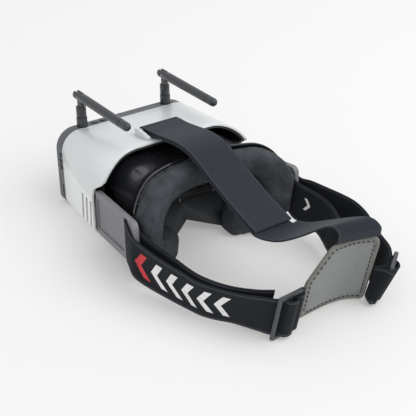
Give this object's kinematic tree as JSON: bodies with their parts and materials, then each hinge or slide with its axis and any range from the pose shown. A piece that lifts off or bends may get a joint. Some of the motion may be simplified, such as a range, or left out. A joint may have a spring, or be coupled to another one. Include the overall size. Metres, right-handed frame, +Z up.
{
  "type": "fpv goggles",
  "caption": "Box-style video goggles with fold-down antennas, a sliding display module, a foam face ring, side straps with slider buckles, a back pad and a top strap.",
  "frame": {"origin": "On the supporting surface, under the middle of the whole object with its straps as laid out", "axes": "+Z up; +Y from the screen to the face opening and on to the back pad; +X to the wearer's left"},
  "size_m": [0.2072, 0.3024, 0.1098],
  "materials": {
    "shell_grey": "smooth light silver-grey",
    "rim_grey": "fine satin dark grey",
    "antenna_black": "satin",
    "black_plastic": "polished black",
    "arm_grey": "fine spark texture",
    "buckle_plastic": "fine texture",
    "webbing": "woven elastic",
    "foam_fabric": "brushed knit over foam",
    "pad_leather": "smooth coated",
    "screen_glass": "glossy",
    "lens": "ribbed clear",
    "board": "solder mask",
    "shield": "tinned",
    "brass": "plated",
    "screw_steel": "blackened",
    "cell_wrap": "film wrap",
    "led_clear": "clear",
    "rubber_seal": "soft"
  },
  "bodies": {
    "headset": {"outer_shell": "shell_grey", "inner_housing": "black_plastic", "shell_screws": "screw_steel", "eye_funnel": "black_plastic", "nose_bridge": "black_plastic", "fresnel_lens": "lens", "lens_retainer": "black_plastic", "retainer_screws": "shield", "face_foam": "foam_fabric", "strap_arm_left": "arm_grey", "strap_arm_right": "arm_grey", "arm_screws": "screw_steel", "top_strap_anchor": "shell_grey", "side_strap_left": "webbing", "side_strap_right": "webbing", "slider_buckle_left": "buckle_plastic", "slider_buckle_right": "buckle_plastic", "pad_loop_left": "webbing", "pad_loop_right": "webbing", "back_pad": "pad_leather", "top_strap": "webbing"},
    "display_module": {"front_cover": "rim_grey", "display_bezel": "rim_grey", "lcd_panel": "screen_glass", "screen_gasket": "rubber_seal", "main_board": "board", "receiver_left": "shield", "receiver_right": "shield", "battery_cell": "cell_wrap", "charge_port": "shield", "av_jack": "black_plastic", "card_reader": "shield", "status_led": "led_clear", "module_screws": "screw_steel", "antenna_nuts": "brass", "antenna_collar_left": "antenna_black", "antenna_collar_right": "antenna_black"},
    "power_key": {"power_button": "antenna_black"},
    "menu_key": {"menu_button": "antenna_black"},
    "search_key": {"search_button": "antenna_black"},
    "band_key": {"band_button": "antenna_black"},
    "channel_key": {"channel_button": "antenna_black"},
    "antenna_base_left": {"antenna_stem_left": "antenna_black"},
    "antenna_left": {"antenna_arm_left": "antenna_black", "antenna_pin_left": "shield"},
    "antenna_base_right": {"antenna_stem_right": "antenna_black"},
    "antenna_right": {"antenna_arm_right": "antenna_black", "antenna_pin_right": "shield"}
  },
  "joints": [
    {"name": "module_slide", "type": "slide", "parent": "headset", "child": "display_module", "axis": [0, -0.989, -0.1478], "range_m": [0, 0.025]},
    {"name": "antenna_swivel_left", "type": "hinge", "parent": "display_module", "child": "antenna_base_left", "pos_m": [0.05848, -0.13938, 0.07993], "axis": [0, -0.1478, 0.989], "range_deg": [-150, 30]},
    {"name": "antenna_fold_left", "type": "hinge", "parent": "antenna_base_left", "child": "antenna_left", "pos_m": [0.05848, -0.14233, 0.09971], "axis": [1, 0, 0], "range_deg": [0, 94]},
    {"name": "antenna_swivel_right", "type": "hinge", "parent": "display_module", "child": "antenna_base_right", "pos_m": [-0.03482, -0.13938, 0.07993], "axis": [0, -0.1478, 0.989], "range_deg": [-30, 150]},
    {"name": "antenna_fold_right", "type": "hinge", "parent": "antenna_base_right", "child": "antenna_right", "pos_m": [-0.03482, -0.14233, 0.09971], "axis": [1, 0, 0], "range_deg": [0, 94]},
    {"name": "power_press", "type": "slide", "parent": "display_module", "child": "power_key", "axis": [0, 0.1478, -0.989], "range_m": [0, 0.0008], "stiffness_N_per_m": 600, "springref_m": -0.001},
    {"name": "menu_press", "type": "slide", "parent": "display_module", "child": "menu_key", "axis": [0, 0.1478, -0.989], "range_m": [0, 0.0008], "stiffness_N_per_m": 600, "springref_m": -0.001},
    {"name": "search_press", "type": "slide", "parent": "display_module", "child": "search_key", "axis": [-1, 0, 0], "range_m": [0, 0.0008], "stiffness_N_per_m": 600, "springref_m": -0.001},
    {"name": "band_press", "type": "slide", "parent": "display_module", "child": "band_key", "axis": [-1, 0, 0], "range_m": [0, 0.0008], "stiffness_N_per_m": 600, "springref_m": -0.001},
    {"name": "channel_press", "type": "slide", "parent": "display_module", "child": "channel_key", "axis": [-1, 0, 0], "range_m": [0, 0.0008], "stiffness_N_per_m": 600, "springref_m": -0.001}
  ]
}
